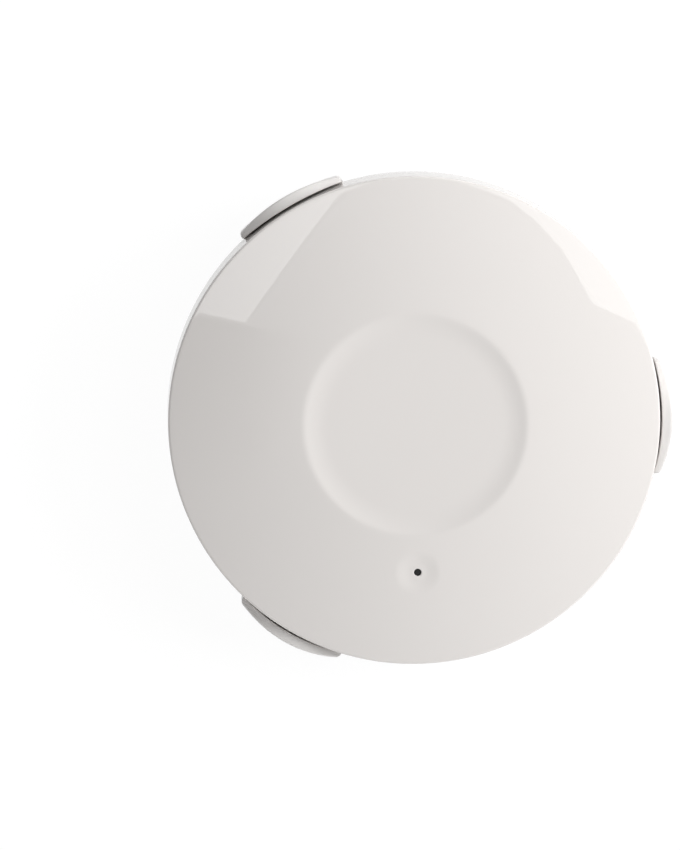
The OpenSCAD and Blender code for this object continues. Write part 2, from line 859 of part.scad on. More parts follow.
module bridge_spring() {
    color([0.8, 0.78, 0.72])
        rotate([0, 0, 180])
            contact_spring();
}

top_cover();
light_pipe();
base_housing();
housing_seal();
housing_screws();
battery_door();
door_seal();
probe_east();
probe_northwest();
probe_southwest();
probe_seal_east();
probe_seal_northwest();
probe_seal_southwest();
probe_nuts();
circuit_board();
radio_board();
radio_shield();
control_chip();
supply_capacitor();
status_led();
switch_body();
switch_plunger();
pairing_button();
battery_tray();
tray_screws();
battery_a();
battery_b();
positive_contact();
negative_contact();
negative_spring();
bridge_contact();
bridge_spring();
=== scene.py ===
# %% [markdown]
# A water leak sensor is a small round puck that lies on the floor of a kitchen or a laundry. Its
# glossy white cover sits in a shallow base with three feet, and a steel stud under each foot feels
# the water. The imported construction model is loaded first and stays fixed: every piece made below is
# written in the same frame, in metres, so it needs no fitting.

# %% Load the fixed frame
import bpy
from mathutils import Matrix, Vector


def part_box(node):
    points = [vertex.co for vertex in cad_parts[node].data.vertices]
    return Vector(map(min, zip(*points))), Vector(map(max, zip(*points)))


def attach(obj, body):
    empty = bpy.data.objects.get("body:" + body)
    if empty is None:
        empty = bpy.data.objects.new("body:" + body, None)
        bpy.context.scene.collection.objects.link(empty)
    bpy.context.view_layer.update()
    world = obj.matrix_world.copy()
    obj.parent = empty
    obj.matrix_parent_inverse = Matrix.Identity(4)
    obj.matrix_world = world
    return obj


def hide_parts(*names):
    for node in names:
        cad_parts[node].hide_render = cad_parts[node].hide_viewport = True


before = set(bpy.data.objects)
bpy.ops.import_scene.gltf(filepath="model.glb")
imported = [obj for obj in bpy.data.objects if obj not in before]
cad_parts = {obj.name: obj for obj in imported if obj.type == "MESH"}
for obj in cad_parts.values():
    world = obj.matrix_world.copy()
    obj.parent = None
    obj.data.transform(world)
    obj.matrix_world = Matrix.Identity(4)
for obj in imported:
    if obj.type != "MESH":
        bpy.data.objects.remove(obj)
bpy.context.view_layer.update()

# %% [markdown]
# Blender's own module makes the objects, and numpy works out the points as whole arrays. A surface is
# thought of here as a grid: rows follow one parameter and columns the other, and each face joins a
# point to its neighbours. Columns run round the piece, so the last one meets the first. A finished
# piece rides on a body of the model, wears a finish, and stands for the nodes that it replaces.

# %% Grids and meshes
import math
import bmesh
import bpy
import numpy as np

MM = 0.001
SAME_SPOT, NO_LENGTH = 2e-7, 1e-8
finishes = {}


def ring_faces(rows, columns, loop=False):
    """Quads of a grid whose columns close in a ring: each joins a point to the next column and the
    next row; with loop the last row also meets the first, which closes the skin like a tyre."""
    r = np.arange(rows if loop else rows - 1)[:, None]
    c = np.arange(columns)[None, :]
    here, above, right = r * columns, (r + 1) % rows * columns, (c + 1) % columns
    return np.stack([here + c, here + right, above + right, above + c], -1).reshape(-1, 4)


def stack_grids(parts):
    """Several (points, faces) pairs as one: each face list is shifted by the points before it."""
    counts = np.cumsum([0] + [p.reshape(-1, 3).shape[0] for p, f in parts])
    points = np.concatenate([p.reshape(-1, 3) for p, f in parts])
    return points, np.concatenate([f + n for (p, f), n in zip(parts, counts)])


def new_object(name, data):
    """An object in the scene, at the origin."""
    made = bpy.data.objects.new(name, data)
    bpy.context.scene.collection.objects.link(made)
    return made


def smooth(mesh):
    """Shades every face of a mesh smoothly."""
    mesh.polygons.foreach_set("use_smooth", np.ones(len(mesh.polygons), bool))


def make_solid(name, points, faces):
    """An object from points in millimetres, with its poles merged and its faces turned outwards."""
    mesh = bpy.data.meshes.new(name)
    mesh.from_pydata((points.reshape(-1, 3) * MM).tolist(), [], faces.tolist())
    work = bmesh.new()
    work.from_mesh(mesh)
    bmesh.ops.remove_doubles(work, verts=work.verts, dist=SAME_SPOT)
    bmesh.ops.dissolve_degenerate(work, edges=work.edges, dist=NO_LENGTH)
    bmesh.ops.recalc_face_normals(work, faces=work.faces)
    work.to_mesh(mesh)
    work.free()
    smooth(mesh)
    return new_object(name, mesh)


def dress(piece, slot):
    """Gives a piece the one finish of a slot."""
    piece.data.materials.clear()
    piece.data.materials.append(finishes[slot])


def stand_in(piece, body, slot, *nodes):
    """Ties a piece to its body, its finish and the construction nodes that it stands for."""
    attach(piece, body)
    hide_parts(*nodes)
    dress(piece, slot)
    print(piece.name, "has", len(piece.data.polygons), "faces and rides on", body)
    return piece


def make_piece(name, grid, body, slot, *nodes):
    """A finished piece from a (points, faces) pair in millimetres."""
    return stand_in(make_solid(name, *grid), body, slot, *nodes)


print("grid helpers are ready")

# %% [markdown]
# Moulded parts have no knife edges. Most pieces here are turned: a profile of radius and height goes
# round an upright axis. The profile is given by its corners, and each corner is then eased along a
# parabola, which is what a mould maker's small radius looks like. Extra points on the straight runs
# keep the shading even.

# %% Eased and turned profiles
MOST_OF_RUN = 0.46


def eased(corners, reach, closed=False, steps=6):
    """A line of straight runs with soft corners: each corner is left `reach` before it and joined
    again `reach` after it along (1-t)^2 start + 2t(1-t) corner + t^2 stop. A stack of lines gives a
    stack of lines, and reach may be a column with its own value for each corner."""
    p = np.asarray(corners, float)
    t = np.linspace(0, 1, steps)[:, None]
    runs = [np.roll(p, 1, -2) - p, np.roll(p, -1, -2) - p]
    sizes = [np.linalg.norm(run, axis=-1, keepdims=True) + 1e-12 for run in runs]
    start, stop = (p + run / n * np.minimum(reach, MOST_OF_RUN * n) for run, n in zip(runs, sizes))
    start, middle, stop = start[..., None, :], p[..., None, :], stop[..., None, :]
    curve = (1 - t) ** 2 * start + 2 * t * (1 - t) * middle + t ** 2 * stop
    if closed:
        return curve.reshape(*p.shape[:-2], -1, 2)
    return np.concatenate([p[:1], curve[1:-1].reshape(-1, 2), p[-1:]])


def stepped(line, step):
    """The same line with extra points, so that no run is longer than step."""
    way = np.append(0, np.cumsum(np.linalg.norm(np.diff(line, axis=0), axis=1)))
    marks = np.unique(np.round(np.concatenate([way, np.arange(0, way[-1], step)]), 5))
    return np.stack([np.interp(marks, way, line[:, 0]), np.interp(marks, way, line[:, 1])], -1)


def turned(line, columns, x=0.0, y=0.0):
    """Points of a turned piece: radius times cosine and sine of the turn, at the profile's height."""
    turn = np.linspace(0, 2 * np.pi, columns, endpoint=False)[None, :]
    r, z = line[:, :1], line[:, 1:]
    return np.stack([x + r * np.cos(turn), y + r * np.sin(turn), z + 0 * turn], -1)


def turned_solid(corners, reach, columns=64, x=0.0, y=0.0, step=0.6, loop=False):
    """A turned piece as (points, faces); loop closes the profile on itself, as in a ring."""
    line = eased(corners, reach, closed=loop)
    line = line if loop else stepped(line, step)
    return turned(line, columns, x, y), ring_faces(len(line), columns, loop)


print("profile helpers are ready")

# %% [markdown]
# The camera comes early, because everything is judged through it. The photograph looks almost
# straight down on the puck: the rim is a circle to within a pixel, and a sliver of its side shows
# along the top left. A long lens tilted by eight degrees gives that. The aim is set off to one side,
# so that the puck sits where it does in the 680 by 850 picture.

# %% Camera
from mathutils import Matrix, Vector

low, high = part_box("top_cover")
COVER_R = high.x / MM
WALL_Z, WALL_H = low.z / MM, 7.5
RIM_Z = WALL_Z + WALL_H
TILT, TILT_WAY, DISTANCE = math.radians(8.25), math.radians(103), 0.8
AIM_LEFT, AIM_DOWN = 0.01206, 0.0005
LENS_PER_METRE, SENSOR = 261.9, 36
NEAREST, FARTHEST = 0.01, 10

leaning = math.sin(TILT)
towards = Vector((leaning * math.cos(TILT_WAY), leaning * math.sin(TILT_WAY), math.cos(TILT)))
across = Vector((0, 1, 0)).cross(towards).normalized()
upward = towards.cross(across)
aim = Vector((0, 0, RIM_Z * MM)) - AIM_LEFT * across - AIM_DOWN * upward
lens = bpy.data.cameras.new("camera")
lens.lens, lens.sensor_width, lens.sensor_fit = LENS_PER_METRE * DISTANCE, SENSOR, "AUTO"
lens.clip_start, lens.clip_end = NEAREST, FARTHEST
camera = new_object("camera", lens)
camera.matrix_world = Matrix((across, upward, towards)).transposed().to_4x4()
camera.location = aim + DISTANCE * towards
scene = bpy.context.scene
scene.camera = camera
print("camera at", [round(v, 4) for v in camera.location], "cover radius", round(COVER_R, 3))

# %% [markdown]
# The stage is a plain pale floor and a few lamps. A white background could be had by burning the
# floor out, but that would wash the object too. So the floor glows white for the camera and for
# reflections alone, with a little plain shading on top that keeps the shadow, and it throws back less
# light than it shows. Seen from below it is clear. The world does the same: pale where it is looked
# at, and only a faint light on the object.

# %% Node helpers


def link(tree, source, target):
    """Joins two sockets of a node tree."""
    tree.links.new(source, target)


def new_nodes(tree, *kinds):
    """New shader nodes of the given kinds, in that order."""
    return [tree.nodes.new("ShaderNode" + kind) for kind in kinds]


def new_material(name):
    """A node material, as (material, node tree)."""
    material = bpy.data.materials.new(name)
    material.use_nodes = True
    return material, material.node_tree


def either(tree, first, second):
    """The larger of two values, as a socket."""
    larger = tree.nodes.new("ShaderNodeMath")
    larger.operation = "MAXIMUM"
    link(tree, first, larger.inputs[0])
    link(tree, second, larger.inputs[1])
    return larger.outputs[0]


def grey(level):
    """A grey of the given level, as a colour."""
    return (level, level, level, 1)


print("node helpers are ready")

# %% Floor and background
FLOOR_HALF, FLOOR_BOUNCE, FLOOR_SHADING, FLOOR_GLOW = 3, 0.60, 0.11, 0.93
WORLD_SEEN, WORLD_TINT, WORLD_LIGHT = 0.8, (0.97, 0.985, 1, 1), 0.1
scene.view_settings.view_transform = "Standard"

edge = FLOOR_HALF
floor_mesh = bpy.data.meshes.new("floor")
floor_corners = [(-edge, -edge, 0), (edge, -edge, 0), (edge, edge, 0), (-edge, edge, 0)]
floor_mesh.from_pydata(floor_corners, [], [(0, 1, 2, 3)])
floor = new_object("floor", floor_mesh)
paper, tree = new_material("pale_floor")
tree.nodes.clear()
out, rays, side, bounce, shown, glow, clear, both, by_ray, by_side = new_nodes(
    tree, "OutputMaterial", "LightPath", "NewGeometry", "BsdfDiffuse", "BsdfDiffuse", "Emission",
    "BsdfTransparent", "AddShader", "MixShader", "MixShader")
bounce.inputs["Color"].default_value = grey(FLOOR_BOUNCE)
shown.inputs["Color"].default_value = grey(FLOOR_SHADING)
glow.inputs["Strength"].default_value = FLOOR_GLOW
seen = either(tree, rays.outputs["Is Camera Ray"], rays.outputs["Is Glossy Ray"])
link(tree, shown.outputs[0], both.inputs[0])
link(tree, glow.outputs[0], both.inputs[1])
link(tree, seen, by_ray.inputs[0])
link(tree, bounce.outputs[0], by_ray.inputs[1])
link(tree, both.outputs[0], by_ray.inputs[2])
link(tree, side.outputs["Backfacing"], by_side.inputs[0])
link(tree, by_ray.outputs[0], by_side.inputs[1])
link(tree, clear.outputs[0], by_side.inputs[2])
link(tree, by_side.outputs[0], out.inputs["Surface"])
floor_mesh.materials.append(paper)

world = bpy.data.worlds.new("studio")
scene.world = world
world.use_nodes = True
tree = world.node_tree
tree.nodes.clear()
out, rays, pale, soft, pick = new_nodes(
    tree, "OutputWorld", "LightPath", "Background", "Background", "MixShader")
pale.inputs["Color"].default_value = grey(WORLD_SEEN)
soft.inputs["Color"].default_value = WORLD_TINT
soft.inputs["Strength"].default_value = WORLD_LIGHT
seen = either(tree, rays.outputs["Is Camera Ray"], rays.outputs["Is Glossy Ray"])
seen = either(tree, seen, rays.outputs["Is Transmission Ray"])
link(tree, seen, pick.inputs[0])
link(tree, soft.outputs[0], pick.inputs[1])
link(tree, pale.outputs[0], pick.inputs[2])
link(tree, pick.outputs[0], out.inputs["Surface"])
print("floor and background are pale to the camera")

# %% [markdown]
# The photograph was taken in a white studio: one big soft light low on the right shades the dome from
# right to left, and two softboxes above leave the broad, straight-edged reflections on the gloss. They
# hang level over the puck, at places read from those reflections. A lamp's level is easiest to think
# of as the brightness of its panel, where 1 is white paper. A rectangular area lamp gives
# power / (pi x area), so the power below is worked out from the panel. A black sheet next to the left
# softbox darkens the gloss there, and two low strips, in front and behind, lift the dome's near and far
# edges. The photograph shows no reflection of the big light or of strips, so these are hidden from
# reflections.

# %% The big light


def panel(name, place, size, level, aim):
    """A rectangular lamp of the given panel brightness, which looks at aim."""
    lamp = bpy.data.lights.new(name, "AREA")
    lamp.shape, lamp.size, lamp.size_y = "RECTANGLE", *size
    lamp.energy = level * math.pi * size[0] * size[1]
    holder = new_object(name, lamp)
    holder.location = place
    holder.rotation_euler = (Vector(aim) - Vector(place)).to_track_quat("-Z", "Y").to_euler()
    print(name, "gives", round(lamp.energy, 2), "W")
    return holder


KEY_WAY, KEY_UP, KEY_FAR = math.radians(10), math.radians(30), 0.65
KEY_SIZE, KEY_LEVEL, KEY_AIM = (0.43, 0.33), 8.9, (0, 0, 0.01)
key_out = KEY_FAR * math.cos(KEY_UP)
key_place = (key_out * math.cos(KEY_WAY), key_out * math.sin(KEY_WAY), KEY_FAR * math.sin(KEY_UP))
key = panel("key_light", key_place, KEY_SIZE, KEY_LEVEL, KEY_AIM)
key.visible_glossy = key.visible_camera = False

# %% Softboxes, flag and strips


def sheet(name, corners, level, shares=None):
    """A glowing or, at level 0, a black sheet with the given corners, which the camera doesn't see.
    Each corner has a share from 0, clear, to 1, solid, so that an edge can fade."""
    mesh = bpy.data.meshes.new(name)
    mesh.from_pydata(corners, [], [tuple(range(len(corners)))])
    solid = mesh.attributes.new("share", "FLOAT", "POINT")
    solid.data.foreach_set("value", shares or [1.0] * len(corners))
    cloth, tree = new_material(name)
    tree.nodes.clear()
    out, glow, clear, mixed, share = new_nodes(
        tree, "OutputMaterial", "Emission", "BsdfTransparent", "MixShader", "Attribute")
    share.attribute_name = "share"
    glow.inputs["Strength"].default_value = level
    link(tree, share.outputs["Fac"], mixed.inputs[0])
    link(tree, clear.outputs[0], mixed.inputs[1])
    link(tree, glow.outputs[0], mixed.inputs[2])
    link(tree, mixed.outputs[0], out.inputs["Surface"])
    mesh.materials.append(cloth)
    hung = new_object(name, mesh)
    hung.visible_camera = False
    print(name, "glows at", level)
    return hung


ABOVE, LEFT_LEVEL, RIGHT_LEVEL = 0.9, 3.0, 3.3
left_box = [(0.023, 0.567), (-0.319, 0.089), (-0.643, 0.152), (-0.40, 0.70)]
right_box = [(0.10, 0.52), (0.229, 0.378), (0.31, 0.31), (0.37, 0.245), (0.438, 0.125),
             (0.819, -0.022), (0.70, 0.60)]
flag = [(-0.15, 0.05), (-0.33, 0.085), (-0.72, 0.155), (-0.80, -0.30), (-0.30, -0.30)]
sheet("softbox_left", [(x, y, ABOVE) for x, y in left_box], LEFT_LEVEL)
sheet("softbox_right", [(x, y, ABOVE) for x, y in right_box], RIGHT_LEVEL)
sheet("dark_flag", [(x, y, ABOVE) for x, y in flag], 0.0, [0, 1, 1, 0, 0])
STRIP_FAR, STRIP_HALF, STRIP_Z = 0.8, 0.34, (0.05, 0.32)
for name, degrees, level in (("front_strip", 255, 6.0), ("back_strip", 80, 3.6)):
    way = math.radians(degrees)
    middle = STRIP_FAR * np.array([math.cos(way), math.sin(way)])
    along = STRIP_HALF * np.array([-math.sin(way), math.cos(way)])
    ends = [tuple(middle - along), tuple(middle + along)]
    lower, upper = ([(*end, z) for end in ends] for z in STRIP_Z)
    strip = sheet(name, lower + upper[::-1], level)
    strip.visible_glossy = False

# %% [markdown]
# Glossy white plastic is never one flat colour. The mould leaves a very fine orange-peel ripple, the
# resin is a little uneven, and handling leaves faint dull patches. All the moulded parts share that,
# so it is a node group with its own inputs: it puts out a colour, a roughness and a height, and each
# material sends these to its own shader.

# %% Moulded skin, a shared node group


def new_group(name, inputs, outputs):
    """A shader node group with float or colour sockets, as (group, input node, output node)."""
    group = bpy.data.node_groups.new(name, "ShaderNodeTree")
    kinds = {"f": "NodeSocketFloat", "c": "NodeSocketColor"}
    for label, kind, value in inputs:
        socket = group.interface.new_socket(label, in_out="INPUT", socket_type=kinds[kind])
        socket.default_value = value
    for label, kind in outputs:
        group.interface.new_socket(label, in_out="OUTPUT", socket_type=kinds[kind])
    return group, group.nodes.new("NodeGroupInput"), group.nodes.new("NodeGroupOutput")


def object_place(tree):
    """Object coordinates, as a socket."""
    return tree.nodes.new("ShaderNodeTexCoord").outputs["Object"]


def noise(tree, place, scale, detail=2.0):
    """A noise texture on Object coordinates, as its value socket; a linked or a fixed scale."""
    node = tree.nodes.new("ShaderNodeTexNoise")
    node.inputs["Detail"].default_value = detail
    link(tree, place, node.inputs["Vector"])
    if isinstance(scale, (int, float)):
        node.inputs["Scale"].default_value = scale
    else:
        link(tree, scale, node.inputs["Scale"])
    return node.outputs["Fac"]


def remap(tree, value, low, high):
    """Carries a 0 to 1 value to the range from low to high, which may be sockets."""
    node = tree.nodes.new("ShaderNodeMapRange")
    link(tree, value, node.inputs["Value"])
    for label, end in (("To Min", low), ("To Max", high)):
        if isinstance(end, (int, float)):
            node.inputs[label].default_value = end
        else:
            link(tree, end, node.inputs[label])
    return node.outputs["Result"]


FIRST_COLOUR, SECOND_COLOUR, MIXED_COLOUR = 6, 7, 2


def mix(tree, share, first, second):
    """Mixes two colours by a share. A Mix node's colour sockets are found by their numbers."""
    node = tree.nodes.new("ShaderNodeMix")
    node.data_type = "RGBA"
    link(tree, share, node.inputs["Factor"])
    for label, colour in ((FIRST_COLOUR, first), (SECOND_COLOUR, second)):
        if isinstance(colour, tuple):
            node.inputs[label].default_value = colour
        else:
            link(tree, colour, node.inputs[label])
    return node.outputs[MIXED_COLOUR]


SURFACE = [("Colour", "c"), ("Roughness", "f"), ("Height", "f")]
GRAIN = 2600.0
RESIN_CLOUDS, DULL_PATCHES = (38.0, 3.0), (90.0, 6.0)
skin, gi, go = new_group(
    "moulded_skin",
    [("Light", "c", grey(0.8)), ("Dark", "c", grey(0.76)), ("Smooth", "f", 0.14), ("Dull", "f", 0.22),
     ("Grain", "f", GRAIN)],
    SURFACE)
place = object_place(skin)
resin = mix(skin, noise(skin, place, *RESIN_CLOUDS), gi.outputs["Dark"], gi.outputs["Light"])
wear = remap(skin, noise(skin, place, *DULL_PATCHES), gi.outputs["Smooth"], gi.outputs["Dull"])
link(skin, resin, go.inputs["Colour"])
link(skin, wear, go.inputs["Roughness"])
link(skin, noise(skin, place, gi.outputs["Grain"], 1.0), go.inputs["Height"])
print("group", skin.name, "has", len(skin.nodes), "nodes")

# %% [markdown]
# Each finish below is one material: a Principled shader fed by the group, with its constant values
# set on its own sockets. The bump is kept to a few thousandths of a millimetre, so that reflections
# ripple slightly instead of breaking up.

# %% Plastics
MICRON = 0.000001
PLASTIC_IOR = 1.5


def new_finish(name):
    """A material with a Principled shader, as (material, node tree, shader)."""
    material, tree = new_material(name)
    print("material", name)
    return material, tree, tree.nodes["Principled BSDF"]


def group_finish(name, shared, values, bump):
    """A material whose colour, roughness and ripple come from a shared group with its own values, as
    (material, node tree, shader, group node)."""
    material, tree, shader = new_finish(name)
    group = tree.nodes.new("ShaderNodeGroup")
    group.node_tree = shared
    for label, value in values.items():
        group.inputs[label].default_value = value
    ripple = tree.nodes.new("ShaderNodeBump")
    ripple.inputs["Distance"].default_value = bump * MICRON
    link(tree, group.outputs["Height"], ripple.inputs["Height"])
    link(tree, group.outputs["Colour"], shader.inputs["Base Color"])
    link(tree, group.outputs["Roughness"], shader.inputs["Roughness"])
    link(tree, ripple.outputs["Normal"], shader.inputs["Normal"])
    return material, tree, shader, group


def skin_material(name, light, dark, smooth, dull, grain=GRAIN, bump=4):
    """A moulded plastic: colours, roughness from smooth to dull, and a ripple of bump microns."""
    values = {"Light": (*light, 1), "Dark": (*dark, 1), "Smooth": smooth, "Dull": dull, "Grain": grain}
    material, tree, shader, group = group_finish(name, skin, values, bump)
    shader.inputs["IOR"].default_value = PLASTIC_IOR
    return material


finishes["cover_white"] = skin_material(
    "glossy_white_cover", (0.80, 0.768, 0.745), (0.785, 0.753, 0.729), 0.006, 0.02, 500.0, 1)
finishes["base_white"] = skin_material(
    "satin_white_base", (0.765, 0.744, 0.727), (0.75, 0.729, 0.712), 0.27, 0.32, 5200.0, 8)
finishes["black_rubber"] = skin_material(
    "black_rubber", (0.022, 0.022, 0.023), (0.015, 0.015, 0.015), 0.55, 0.75, 7000.0, 20)
finishes["chip_black"] = skin_material(
    "chip_epoxy", (0.030, 0.030, 0.032), (0.022, 0.022, 0.024), 0.45, 0.6, 9000.0, 10)
finishes["button_grey"] = skin_material(
    "grey_button", (0.19, 0.195, 0.205), (0.17, 0.175, 0.185), 0.32, 0.42, 5200.0, 8)
finishes["tray_grey"] = skin_material(
    "grey_tray", (0.30, 0.30, 0.305), (0.27, 0.27, 0.275), 0.35, 0.5, 5200.0, 8)
finishes["plunger_white"] = skin_material(
    "white_plunger", (0.72, 0.71, 0.68), (0.69, 0.68, 0.65), 0.3, 0.4)
finishes["led_clear"] = skin_material(
    "lamp_epoxy", (0.74, 0.68, 0.42), (0.68, 0.62, 0.36), 0.25, 0.4)

# %% [markdown]
# The studs, screws, nuts, springs and the radio's can are metal. Turning and rolling leave fine lines,
# and a plated or drawn surface has clouds of slightly different gloss. A second group stretches one
# noise along a chosen direction for the lines and uses another for the clouds. A stud's face has also
# the rings that a lathe leaves: its mesh carries a phase, and where its sine is high the colour is
# darkened, which is painted shade of the lathe's grooves.

# %% Worked metal, a shared node group
LINES, LINE_STRETCH, LINE_DETAIL, METAL_CLOUDS = 3000.0, (0.12, 0.12, 1.0), 2.0, (420.0, 4.0)
METAL_BUMP, GROOVE_SHADE_SHARE = 3, 0.6
metal, gi, go = new_group(
    "worked_metal",
    [("Bright", "c", grey(0.7)), ("Shade", "c", grey(0.55)), ("Polished", "f", 0.2),
     ("Worked", "f", 0.4), ("Lines", "f", LINES)],
    SURFACE)
place = object_place(metal)
stretch = metal.nodes.new("ShaderNodeMapping")
stretch.inputs["Scale"].default_value = LINE_STRETCH
link(metal, place, stretch.inputs["Vector"])
lines = noise(metal, stretch.outputs["Vector"], gi.outputs["Lines"], LINE_DETAIL)
clouds = noise(metal, place, *METAL_CLOUDS)
gloss = remap(metal, lines, gi.outputs["Polished"], gi.outputs["Worked"])
link(metal, mix(metal, clouds, gi.outputs["Shade"], gi.outputs["Bright"]), go.inputs["Colour"])
link(metal, gloss, go.inputs["Roughness"])
link(metal, lines, go.inputs["Height"])


def metal_material(name, bright, shade, polished, worked, groove_shade_colour=None):
    """A worked metal: two tones, roughness from polished to worked, and, if turned, darker rings that
    paint the shade of the lathe's grooves.
    """
    values = {"Bright": (*bright, 1), "Shade": (*shade, 1), "Polished": polished, "Worked": worked,
              "Lines": LINES}
    material, tree, shader, group = group_finish(name, metal, values, METAL_BUMP)
    shader.inputs["Metallic"].default_value = 1.0
    # The rings' darker colour is painted shade of the lathe's grooves; the mesh has no grooves.
    if groove_shade_colour:
        phase, wave = new_nodes(tree, "Attribute", "Math")
        phase.attribute_name, wave.operation = "turning", "SINE"
        link(tree, phase.outputs["Fac"], wave.inputs[0])
        rings = remap(tree, wave.outputs[0], 0.0, GROOVE_SHADE_SHARE)
        groove_shaded = mix(tree, rings, group.outputs["Colour"], (*groove_shade_colour, 1))
        link(tree, groove_shaded, shader.inputs["Base Color"])
    return material


# The stud's last colour is painted shade of the lathe's grooves, laid on as darker rings.
finishes["stainless"] = metal_material(
    "stainless_stud", (0.66, 0.65, 0.63), (0.56, 0.55, 0.53), 0.16, 0.34, (0.36, 0.355, 0.345))
finishes["plated_steel"] = metal_material(
    "plated_steel", (0.60, 0.60, 0.61), (0.48, 0.48, 0.50), 0.22, 0.42)
finishes["shield_metal"] = metal_material(
    "tinned_shield", (0.66, 0.66, 0.66), (0.57, 0.57, 0.58), 0.25, 0.45)
finishes["can_metal"] = metal_material(
    "capacitor_can", (0.74, 0.74, 0.75), (0.66, 0.66, 0.68), 0.2, 0.35)
finishes["nickel"] = metal_material(
    "nickel_contact", (0.68, 0.66, 0.62), (0.58, 0.56, 0.52), 0.18, 0.36)

# %% [markdown]
# The circuit boards carry a thin lacquer over copper: the tracks show through as slightly lighter
# strips, and the lacquer's gloss is uneven. A brick pattern gives the strips, and a small noise is
# enough for the gloss of a board that sits in the dark. The light rod is a clear plastic tinted nearly
# black, which is painted shade of the deep pinhole it fills, and a cell has a printed sleeve with a
# plain band and a bare metal end.

# %% Boards
BOARD_BRICKS, TRACK_WIDTH, BOARD_GRAIN, BOARD_GLOSS = 420.0, 0.09, (1800.0, 3.0), (0.28, 0.45)
BRICK_SHADE = 0.92


def board_material(name, mask, track):
    """Lacquered board: a brick pattern picks the tracks, and noise clouds the lacquer's gloss."""
    material, tree, shader = new_finish(name)
    place = object_place(tree)
    bricks = tree.nodes.new("ShaderNodeTexBrick")
    bricks.inputs["Scale"].default_value = BOARD_BRICKS
    bricks.inputs["Mortar Size"].default_value = TRACK_WIDTH
    link(tree, place, bricks.inputs["Vector"])
    shaded = tuple(BRICK_SHADE * c for c in mask)
    for label, colour in (("Color1", mask), ("Color2", shaded), ("Mortar", track)):
        bricks.inputs[label].default_value = (*colour, 1)
    link(tree, bricks.outputs["Color"], shader.inputs["Base Color"])
    gloss = remap(tree, noise(tree, place, *BOARD_GRAIN), *BOARD_GLOSS)
    link(tree, gloss, shader.inputs["Roughness"])
    return material


finishes["board_green"] = board_material("green_board", (0.02, 0.11, 0.045), (0.05, 0.19, 0.08))
finishes["board_blue"] = board_material("blue_board", (0.02, 0.05, 0.16), (0.05, 0.10, 0.25))

# %% Light rod and cells
CLEAR_IOR, FROST = 1.49, (2500.0, 2.0)
BAND_FROM, METAL_FROM = -0.0155, -0.0228
SLEEVE_CLOUDS, SLEEVE_LIFT, SLEEVE_GRAIN, SLEEVE_GLOSS = (700.0, 4.0), 1.12, (900.0, 3.0), (0.22, 0.36)
BARE_END = (0.66, 0.65, 0.62, 1)


def clear_material(name, colour, rough):
    """A clear moulded plastic: it passes light, and a fine noise frosts it a little."""
    material, tree, shader = new_finish(name)
    shader.inputs["Base Color"].default_value = (*colour, 1)
    shader.inputs["IOR"].default_value = CLEAR_IOR
    shader.inputs["Transmission Weight"].default_value = 1.0
    frost = remap(tree, noise(tree, object_place(tree), *FROST), 0.5 * rough, 1.5 * rough)
    link(tree, frost, shader.inputs["Roughness"])
    return material


def cell_material(name, sleeve, band):
    """A cell's sleeve: the raised end lies at -X on the cell at +Y and at +X on the other, so the
    distance along the cell is X times the sign of Y, and two steps on it pick band and metal."""
    material, tree, shader = new_finish(name)
    place = object_place(tree)
    split, way, along, on_band, on_metal = new_nodes(tree, "SeparateXYZ", *["Math"] * 4)
    way.operation, along.operation = "SIGN", "MULTIPLY"
    on_band.operation = on_metal.operation = "LESS_THAN"
    on_band.inputs[1].default_value, on_metal.inputs[1].default_value = BAND_FROM, METAL_FROM
    link(tree, place, split.inputs[0])
    link(tree, split.outputs["Y"], way.inputs[0])
    link(tree, split.outputs["X"], along.inputs[0])
    link(tree, way.outputs[0], along.inputs[1])
    link(tree, along.outputs[0], on_band.inputs[0])
    link(tree, along.outputs[0], on_metal.inputs[0])
    lifted = tuple(SLEEVE_LIFT * c for c in sleeve)
    worn = mix(tree, noise(tree, place, *SLEEVE_CLOUDS), (*sleeve, 1), (*lifted, 1))
    banded = mix(tree, on_band.outputs[0], worn, (*band, 1))
    ended = mix(tree, on_metal.outputs[0], banded, BARE_END)
    gloss = remap(tree, noise(tree, place, *SLEEVE_GRAIN), *SLEEVE_GLOSS)
    link(tree, ended, shader.inputs["Base Color"])
    link(tree, on_metal.outputs[0], shader.inputs["Metallic"])
    link(tree, gloss, shader.inputs["Roughness"])
    return material


# The rod's near-black tint is painted shade of the pinhole above it.
finishes["clear_rod"] = clear_material("pinhole_shade_light_rod", (0.03, 0.029, 0.028), 0.06)
finishes["cell_sleeve"] = cell_material("cell_sleeve", (0.045, 0.09, 0.19), (0.50, 0.49, 0.47))

# %% [markdown]
# The cover is the piece that everyone sees: a shallow dome with a wide soft dish, and below it a small
# recess with a pinhole for the light. A dome could be turned, but the pinhole is off the axis. So the
# grid's rows are circles that start round the pinhole and grow and drift until they become the rim;
# the columns then run over the rim, down the wall, up inside and back to the pinhole, like a tyre.

# %% Shape of the cover's top
DOME_RISE, COVER_T, WALL_T = 4.9, 1.8, 2.0
DOME_R = (COVER_R ** 2 + DOME_RISE ** 2) / (2 * DOME_RISE)
APEX_Z = RIM_Z + DOME_RISE
LIGHT_WAY, LIGHT_REACH, HOLE_R = math.radians(271), 24.2, 0.6
LIGHT_X, LIGHT_Y = LIGHT_REACH * math.cos(LIGHT_WAY), LIGHT_REACH * math.sin(LIGHT_WAY)
DISH_R, DISH_DEPTH, DISH_FLAT, DISH_CURVE, CREST = 18.75, 0.31, 14.25, 0.028, 0.06
RECESS_DEPTH, RECESS_FLAT, RECESS_R = 0.2, 1.2, 3.85


def soft_step(value, start, stop):
    """0 before start, 1 after stop, and 3t^2 - 2t^3 between them."""
    t = np.clip((value - start) / (stop - start), 0, 1)
    return t * t * (3 - 2 * t)


